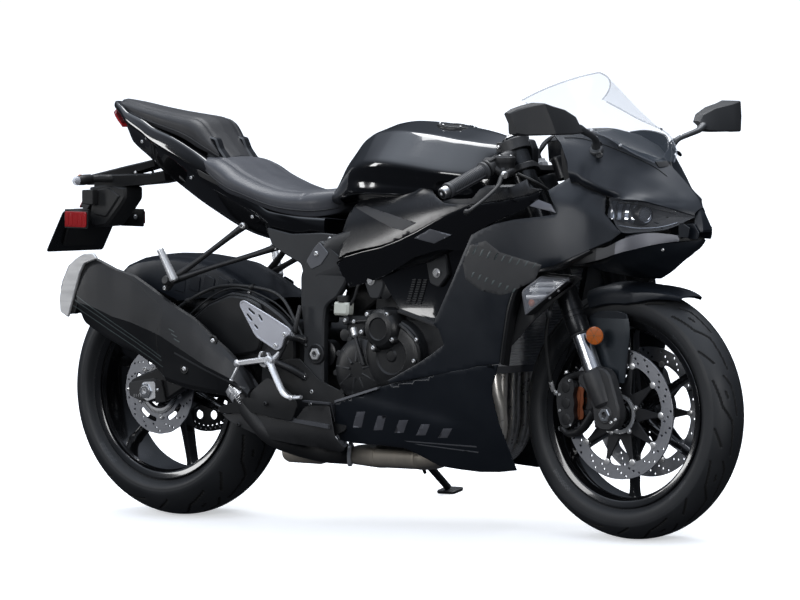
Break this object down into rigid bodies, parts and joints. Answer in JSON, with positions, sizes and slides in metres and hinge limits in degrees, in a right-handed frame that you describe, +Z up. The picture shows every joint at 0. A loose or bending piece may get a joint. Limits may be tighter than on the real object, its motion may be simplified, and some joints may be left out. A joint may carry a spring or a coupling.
{
  "type": "sport motorcycle",
  "caption": "Fully faired sport motorcycle leaning on its side stand, with turning wheels, steering and a folding side stand.",
  "frame": {"origin": "middle of the bounding box, on the ground", "axes": "X forward, Y to the rider's left, Z up; the bike leans 11 degrees to its left on the side stand"},
  "size_m": [2.0363, 0.8638, 1.093],
  "materials": {
    "tyre_rubber": "matt black rubber with sipes",
    "wheel_black": "gloss black",
    "disc_steel": "drilled brushed steel",
    "steel": "brushed steel",
    "black_metal": "satin black",
    "fork_black": "satin black tubes",
    "caliper_black": "semi gloss black",
    "aluminium": "satin aluminium",
    "frame_grey": "dark grey satin paint",
    "engine_black": "black paint",
    "fin_grey": "finned core",
    "pipe_steel": "heat tinted steel",
    "silencer_black": "satin black",
    "gloss_black": "gloss black",
    "tank_black": "gloss black",
    "satin_black": "matt metallic black",
    "trim_black": "grained black",
    "seat_cover": "dark grey vinyl",
    "lens_smoke": "clear lens",
    "lens_red": "red lens",
    "screen_clear": "clear, faint tint",
    "plate_black": "blank black",
    "grip_rubber": "ribbed",
    "chain_steel": "dark steel"
  },
  "bodies": {
    "chassis": {"drive_chain": "chain_steel", "engine_block": "engine_black", "engine_covers": "engine_black", "exhaust_pipes": "pipe_steel", "foot_levers": "aluminium", "frame": "frame_grey", "fuel_tank": "tank_black", "headlights": "lens_smoke", "instrument_cluster": "trim_black", "lower_cowls": "satin_black", "mirrors": "trim_black", "number_plate": "plate_black", "passenger_footrests": "black_metal", "pillion_seat": "seat_cover", "plate_bracket": "trim_black", "radiator": "fin_grey", "rear_axle": "steel", "rear_caliper": "aluminium", "rear_hugger": "trim_black", "rider_footrests": "aluminium", "rider_seat": "seat_cover", "shock_absorber": "black_metal", "side_covers": "gloss_black", "side_fairings": "satin_black", "silencer": "silencer_black", "subframe": "frame_grey", "swingarm": "frame_grey", "tail_cowl": "gloss_black", "tail_light": "lens_red", "turn_signals": "lens_smoke", "upper_cowl": "satin_black", "windscreen": "screen_clear"},
    "front_wheel": {"front_tyre": "tyre_rubber", "front_rim": "wheel_black", "front_discs": "disc_steel"},
    "rear_wheel": {"rear_tyre": "tyre_rubber", "rear_rim": "wheel_black", "rear_disc": "disc_steel", "rear_sprocket": "chain_steel"},
    "steering": {"steering_yokes": "black_metal", "fork_legs": "fork_black", "front_axle": "steel", "front_calipers": "caliper_black", "front_fender": "satin_black", "clip_on_bars": "black_metal", "hand_grips": "grip_rubber", "control_levers": "black_metal"},
    "side_stand": {"side_stand": "black_metal"}
  },
  "joints": [
    {"name": "steering", "type": "hinge", "parent": "chassis", "child": "steering", "pos_m": [0.47153, -0.03015, 0.78669], "axis": [-0.3984, 0.175, 0.9004], "range_deg": [-27, 27]},
    {"name": "front_wheel_spin", "type": "hinge", "parent": "steering", "child": "front_wheel", "pos_m": [0.71818, -0.12555, 0.29578], "axis": [-0.0001, 0.9816, -0.1908], "continuous": true},
    {"name": "rear_wheel_spin", "type": "hinge", "parent": "chassis", "child": "rear_wheel", "pos_m": [-0.68181, -0.12269, 0.31105], "axis": [-0.0001, 0.9816, -0.1908], "continuous": true},
    {"name": "side_stand_swing", "type": "hinge", "parent": "chassis", "child": "side_stand", "pos_m": [-0.12184, -0.00944, 0.2226], "axis": [-0.088, 0.8185, 0.5677], "range_deg": [0, 85]}
  ]
}
